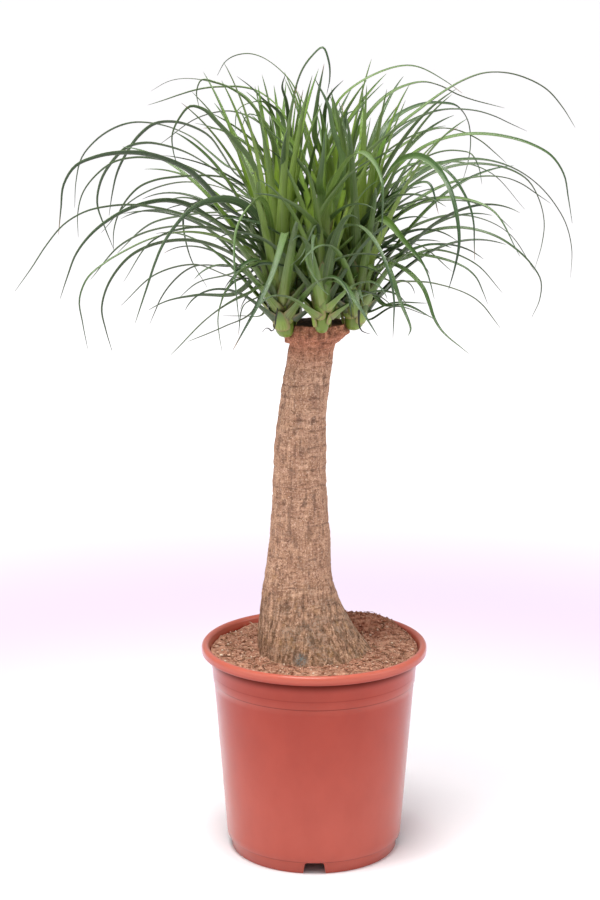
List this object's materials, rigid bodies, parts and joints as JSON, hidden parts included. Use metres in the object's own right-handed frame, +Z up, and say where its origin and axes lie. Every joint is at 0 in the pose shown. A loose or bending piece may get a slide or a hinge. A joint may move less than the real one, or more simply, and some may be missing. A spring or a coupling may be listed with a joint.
{
  "type": "potted ponytail palm",
  "caption": "House plant with a swollen bare trunk, green shoots and arching strap leaves, rooted in soil in a round plastic nursery pot.",
  "frame": {"origin": "on the floor, on the axis of the pot", "axes": "+Z up, along the pot's axis; -Y is the front of the plant; +X is to its right as seen from the front"},
  "size_m": [0.5682, 0.5217, 0.8503],
  "materials": {
    "pot_plastic": "satin injection-moulded plastic, brick red, with faint scuffs",
    "peat": "loose brown potting mix of peat and coir, crumbs and fibres",
    "bark": "corky tan bark with fine rings, cracks and grey patches low down",
    "shoot_green": "yellow-green sheathing leaf bases, satin",
    "leaf_green": "smooth green strap leaf with fine parallel veins and a soft sheen",
    "dried_leaf": "dry, curled and dull"
  },
  "bodies": {
    "root": {"dried_leaf_01": "dried_leaf", "dried_leaf_02": "dried_leaf", "leaf_crown_01": "leaf_green", "leaf_crown_02": "leaf_green", "leaf_crown_03": "leaf_green", "leaf_crown_04": "leaf_green", "leaf_front_01": "leaf_green", "leaf_front_02": "leaf_green", "leaf_front_03": "leaf_green", "leaf_front_04": "leaf_green", "leaf_front_05": "leaf_green", "leaf_left_01": "leaf_green", "leaf_left_02": "leaf_green", "leaf_left_03": "leaf_green", "leaf_left_04": "leaf_green", "leaf_left_05": "leaf_green", "leaf_left_06": "leaf_green", "leaf_left_07": "leaf_green", "leaf_left_08": "leaf_green", "leaf_left_09": "leaf_green", "leaf_left_10": "leaf_green", "leaf_left_11": "leaf_green", "leaf_left_12": "leaf_green", "leaf_left_13": "leaf_green", "leaf_left_14": "leaf_green", "leaf_left_15": "leaf_green", "leaf_left_16": "leaf_green", "leaf_left_17": "leaf_green", "leaf_left_18": "leaf_green", "leaf_left_19": "leaf_green", "leaf_left_20": "leaf_green", "leaf_left_21": "leaf_green", "leaf_left_22": "leaf_green", "leaf_right_01": "leaf_green", "leaf_right_02": "leaf_green", "leaf_right_03": "leaf_green", "leaf_right_04": "leaf_green", "leaf_right_05": "leaf_green", "leaf_right_06": "leaf_green", "leaf_right_07": "leaf_green", "leaf_right_08": "leaf_green", "leaf_right_09": "leaf_green", "leaf_right_10": "leaf_green", "leaf_right_11": "leaf_green", "leaf_right_12": "leaf_green", "leaf_right_13": "leaf_green", "leaf_right_14": "leaf_green", "leaf_right_15": "leaf_green", "leaf_right_16": "leaf_green", "leaf_right_17": "leaf_green", "leaf_right_18": "leaf_green", "leaf_right_19": "leaf_green", "pot": "pot_plastic", "shoot_back_left": "shoot_green", "shoot_back_right": "shoot_green", "shoot_front": "shoot_green", "shoot_left": "shoot_green", "shoot_right": "shoot_green", "soil": "peat", "trunk": "bark"}
  },
  "joints": []
}
